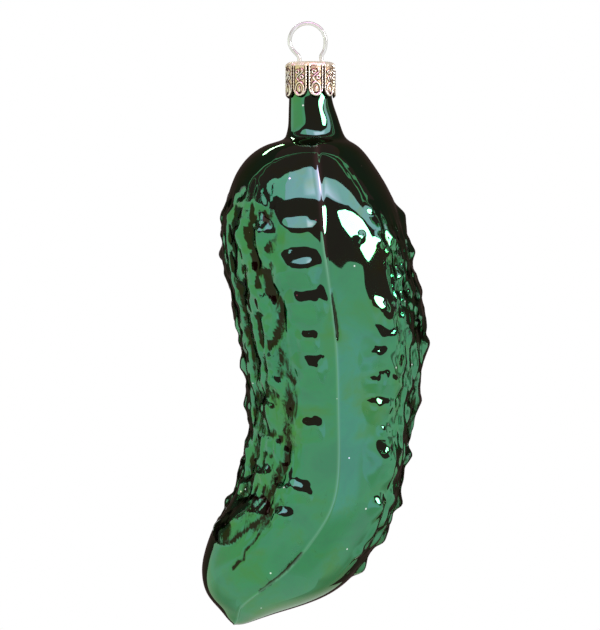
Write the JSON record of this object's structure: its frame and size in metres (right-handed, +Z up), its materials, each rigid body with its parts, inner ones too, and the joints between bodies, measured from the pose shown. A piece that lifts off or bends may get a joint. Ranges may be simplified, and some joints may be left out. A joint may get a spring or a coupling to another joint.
{
  "type": "pickle ornament",
  "caption": "Blown glass pickle with a warty skin, closed by a petalled metal cap with a sprung wire loop, for hanging on a tree.",
  "frame": {"origin": "the hanging point: the top of the inside of the wire loop, where it lies on a hook or a twig", "axes": "+Z up along the neck's axis, through the hanging point; the front, where the mould seam runs down the pickle, faces -Y; +X is the right of the front view, and the tip curves away towards -X"},
  "size_m": [0.0451, 0.0388, 0.1206],
  "materials": {
    "green_glass": "silvered inside under clear green lacquer, mirror gloss",
    "gold_cap": "thin gold-coloured sheet, stamped and embossed, satin",
    "silver_wire": "bright drawn spring wire"
  },
  "bodies": {
    "hanger": {"hanger_wire": "silver_wire"},
    "cap": {"crown_cap": "gold_cap"},
    "pickle": {"glass_pickle": "green_glass"}
  },
  "joints": [
    {"name": "hanger_pull", "type": "slide", "parent": "hanger", "child": "cap", "axis": [0, 0, -1], "range_m": [0, 0.0135]},
    {"name": "cap_pull_off", "type": "slide", "parent": "cap", "child": "pickle", "axis": [0, 0, -1], "range_m": [0, 0.014]}
  ]
}
